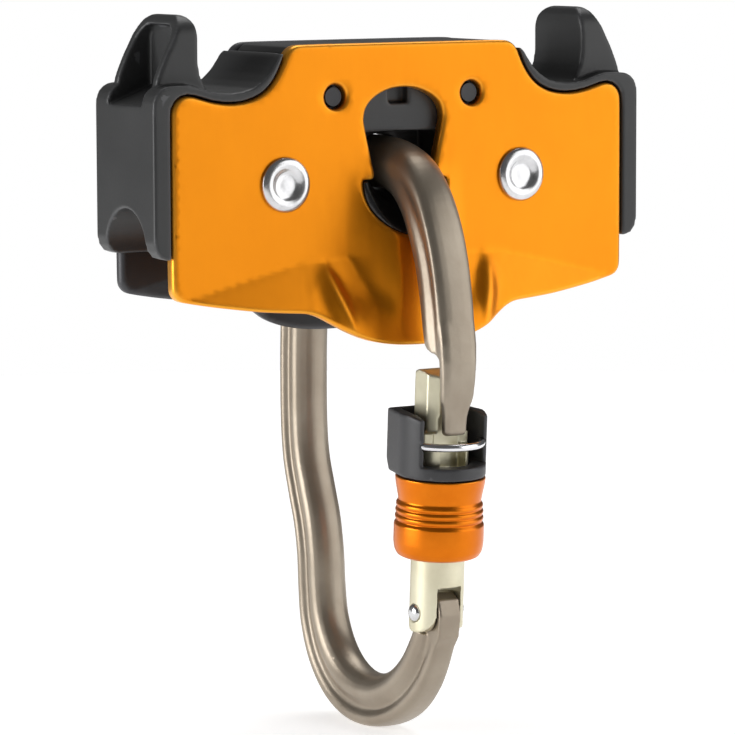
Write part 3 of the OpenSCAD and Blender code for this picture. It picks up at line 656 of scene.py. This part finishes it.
def rivets():
    verts, faces = [], []
    for s in (-1, 1):
        shank = [(0, -OUTER_Y - 0.58), (1.2, -OUTER_Y - 0.55), (2.3, -OUTER_Y - 0.48),
                 (2.95, -OUTER_Y - 0.6), (3.35, -OUTER_Y - 0.95), (4.0, -OUTER_Y - 1.25),
                 (4.9, -OUTER_Y - 1.32), (5.75, -OUTER_Y - 1.05), (6.2, -OUTER_Y - 0.5),
                 (6.15, -OUTER_Y), (3.98, -OUTER_Y)]
        profile = shank + [(r, -y) for r, y in reversed(shank)]
        place = axle_place(s)
        v, f = lathe(profile, place, 96, closed=False)
        faces += [[i + len(verts) for i in q] for q in f]
        verts += v
    return verts, faces


piece("axle_rivet_pair", *rivets(), "axle_rivets")


def gate_rivet():
    half = [(0, -6.85), (0.9, -6.75), (1.6, -6.5), (1.95, -6.12), (1.99, -5.9)]
    profile = half + [(r, -h) for r, h in reversed(half)]
    place = Matrix.Translation(HINGE) @ Matrix.Rotation(math.radians(90), 4, "Y")
    return lathe(profile, place, 48, closed=False)


piece("gate_pivot_rivet", *gate_rivet(), "gate_rivet")


def sheave():
    rf, w = 16.5, 7.0       # flange radius and half width
    groove = [(AXLE_Z - 6.5 * math.cos(a), 6.5 * math.sin(a))
              for a in np.linspace(math.radians(50), math.radians(-50), 17)]
    outer = [(9.5, -5), (10.6, -5), (11.2, -w + 0.6), (12.5, -w), (rf - 0.6, -w), (rf, -w + 0.5),
             (rf, -5.7)]
    far = [(r, -h) for r, h in reversed(outer)]
    return rounded(outer + groove[::-1] + far, 0.2, 2)


for side, s in (("left", -1), ("right", 1)):
    place = axle_place(s)
    v, f = lathe(sheave(), place, 128)
    piece(f"{side}_sheave_turning", v, f, f"{side}_sheave")


# ---------------------------------------------------------------- floor, light, camera
def plain(name, colour, rough, glow=0.0):
    m, tree, bsdf = new_material(name)
    bsdf.inputs["Base Color"].default_value = (*colour, 1)
    bsdf.inputs["Roughness"].default_value = rough
    bsdf.inputs["Specular IOR Level"].default_value = 0.2
    bsdf.inputs["Emission Color"].default_value = (1, 1, 1, 1)
    bsdf.inputs["Emission Strength"].default_value = glow
    return m


floor_z = cad_box[0].z
FLOOR_R = 0.7
rim = [(FLOOR_R * math.cos(a), FLOOR_R * math.sin(a), floor_z)
       for a in np.linspace(0, 2 * math.pi, 96, endpoint=False)]
floor = bpy.data.meshes.new("floor")
floor.from_pydata(rim, [], [list(range(96))])
floor_obj = bpy.data.objects.new("floor", floor)
bpy.context.scene.collection.objects.link(floor_obj)
floor.materials.append(plain("floor_paper", (0.9, 0.9, 0.9), 0.9, glow=0.58))

# A white surround behind the object, dimmer as a light so that the softboxes shape the metal
world = bpy.data.worlds.new("studio")
bpy.context.scene.world = world
world.use_nodes = True
wt = world.node_tree
dim = wt.nodes["Background"]
dim.inputs["Color"].default_value = (1, 1, 1, 1)
dim.inputs["Strength"].default_value = 0.1
white = wt.nodes.new("ShaderNodeBackground")
white.inputs["Color"].default_value = (1, 1, 1, 1)
white.inputs["Strength"].default_value = 1.0
pick = wt.nodes.new("ShaderNodeMixShader")
seen = wt.nodes.new("ShaderNodeLightPath")
wt.links.new(seen.outputs["Is Camera Ray"], pick.inputs["Fac"])
wt.links.new(dim.outputs["Background"], pick.inputs[1])
wt.links.new(white.outputs["Background"], pick.inputs[2])
wt.links.new(pick.outputs["Shader"], wt.nodes["World Output"].inputs["Surface"])


def softbox(name, azimuth, elevation, distance, size, radiance):
    """A square softbox aimed at the object. Azimuth 0 is the -Y side, 90 the +X side."""
    a, e = math.radians(azimuth), math.radians(elevation)
    place = Vector((math.sin(a) * math.cos(e), -math.cos(a) * math.cos(e), math.sin(e))) * distance
    place += Vector((0, 0, -0.02))
    data = bpy.data.lights.new(name, "AREA")
    data.shape = "SQUARE"
    data.size = size
    data.energy = radiance * math.pi * size * size
    lamp = bpy.data.objects.new(name, data)
    bpy.context.scene.collection.objects.link(lamp)
    lamp.location = place
    lamp.rotation_mode = "QUATERNION"
    lamp.rotation_quaternion = (-place).to_track_quat("-Z", "Y")
    lamp.visible_camera = False
    return lamp


softbox("right_panel", 50, 14, 1.5, 1.5, 1.65)
softbox("left_panel", -104, 3, 1.5, 1.0, 6.0)
softbox("top_panel", 138, 63, 1.5, 1.0, 3.0)

camera = bpy.data.cameras.new("camera")
cam = bpy.data.objects.new("camera", camera)
bpy.context.scene.collection.objects.link(cam)
bpy.context.scene.camera = cam
camera.sensor_width = 36
camera.lens = 194.95
camera.clip_start, camera.clip_end = 0.05, 20
eye = Vector((-0.48249, -0.77275, 0.08144))
aim = Vector((-0.010117, -0.0135, -0.023748))
forward = (aim - eye).normalized()
right = forward.cross(Vector((0, 0, 1))).normalized()
up = right.cross(forward)
roll = math.radians(-0.197)
right, up = (right * math.cos(roll) + up * math.sin(roll),
             up * math.cos(roll) - right * math.sin(roll))
turn = Matrix((right, up, -forward)).transposed()
cam.matrix_world = Matrix.Translation(eye) @ turn.to_4x4()
bpy.context.scene.view_settings.view_transform = "Standard"
